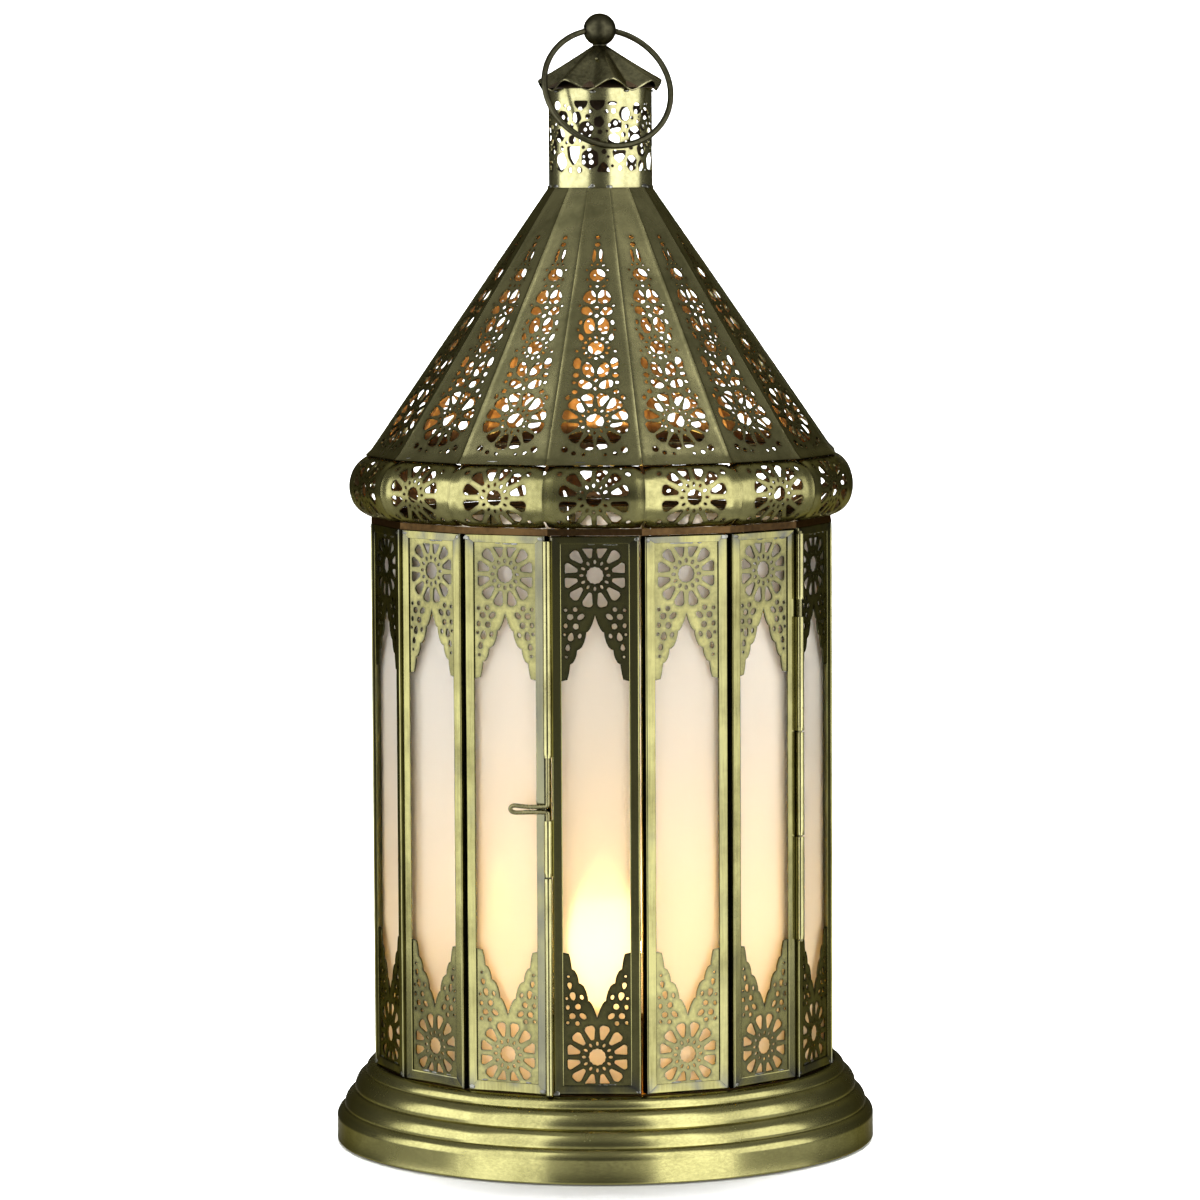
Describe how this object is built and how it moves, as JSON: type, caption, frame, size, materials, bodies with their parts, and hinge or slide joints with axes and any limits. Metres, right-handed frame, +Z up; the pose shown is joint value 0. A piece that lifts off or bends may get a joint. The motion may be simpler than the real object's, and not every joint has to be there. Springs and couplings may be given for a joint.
{
  "type": "lantern",
  "caption": "Tall many-sided brass lantern with frosted glass panels, hinged panel door with slide bolt, pierced cornice and conical roof, stepped round base, cap and carry ring.",
  "frame": {"origin": "centre of the underside of the round base, on the surface the lantern stands on", "axes": "+Z up to the ball; -Y is the front, towards the left panel of the door; +X to the viewer's right"},
  "size_m": [0.2522, 0.2522, 0.5254],
  "materials": {
    "antique_brass": "antique lacquered, brushed",
    "roof_brass": "antique lacquered, dark",
    "bronzed_brass": "bronzed satin",
    "brass_wire": "drawn, dull",
    "frosted_glass": "frosted on the back",
    "opal_bulb": "opal coated",
    "zinc_steel": "zinc plated",
    "black_resin": "moulded matt",
    "black_rubber": "matt",
    "green_felt": "pressed felt"
  },
  "bodies": {
    "lantern": {"frame_03": "antique_brass", "glass_03": "frosted_glass", "frame_04": "antique_brass", "glass_04": "frosted_glass", "frame_05": "antique_brass", "glass_05": "frosted_glass", "frame_06": "antique_brass", "glass_06": "frosted_glass", "frame_07": "antique_brass", "glass_07": "frosted_glass", "frame_08": "antique_brass", "glass_08": "frosted_glass", "frame_09": "antique_brass", "glass_09": "frosted_glass", "frame_10": "antique_brass", "glass_10": "frosted_glass", "frame_11": "antique_brass", "glass_11": "frosted_glass", "frame_12": "antique_brass", "glass_12": "frosted_glass", "frame_13": "antique_brass", "glass_13": "frosted_glass", "frame_14": "antique_brass", "glass_14": "frosted_glass", "frame_15": "antique_brass", "glass_15": "frosted_glass", "base_shell": "antique_brass", "upper_arch_plates": "antique_brass", "lower_arch_plates": "antique_brass", "top_ring": "antique_brass", "cornice_band": "antique_brass", "eave_ring": "antique_brass", "hinge_knuckles_fixed": "antique_brass", "latch_keeper": "antique_brass", "roof_panels": "roof_brass", "chimney_collar": "roof_brass", "cap_hood": "bronzed_brass", "finial_ball": "bronzed_brass", "base_bottom_plate": "zinc_steel", "floor_plate": "zinc_steel", "lampholder_nipple": "zinc_steel", "hex_nuts": "zinc_steel", "bulb_cap": "zinc_steel", "base_felt_pad": "green_felt", "cable_grommet": "black_rubber", "lampholder_body": "black_resin", "lampholder_ring": "black_resin", "bulb_glass": "opal_bulb"},
    "door": {"door_frame_left": "antique_brass", "door_frame_middle": "antique_brass", "door_frame_right": "antique_brass", "door_glass_left": "frosted_glass", "door_glass_middle": "frosted_glass", "door_glass_right": "frosted_glass", "door_arch_plates": "antique_brass", "hinge_knuckles_door": "antique_brass", "hinge_pin": "brass_wire", "latch_guide_tubes": "antique_brass"},
    "latch": {"latch_bolt": "brass_wire"},
    "ring": {"carry_ring": "bronzed_brass"}
  },
  "joints": [
    {"name": "door_hinge", "type": "hinge", "parent": "lantern", "child": "door", "pos_m": [0.09179, -0.06134, 0.195], "axis": [0, 0, 1], "range_deg": [0, 115]},
    {"name": "latch_slide", "type": "slide", "parent": "door", "child": "latch", "axis": [0, 0, 1], "range_m": [-0.0025, 0.02]},
    {"name": "ring_swing", "type": "hinge", "parent": "lantern", "child": "ring", "pos_m": [0, 0, 0.5178], "axis": [-0.955, -0.2965, 0], "range_deg": [0, 307]}
  ]
}
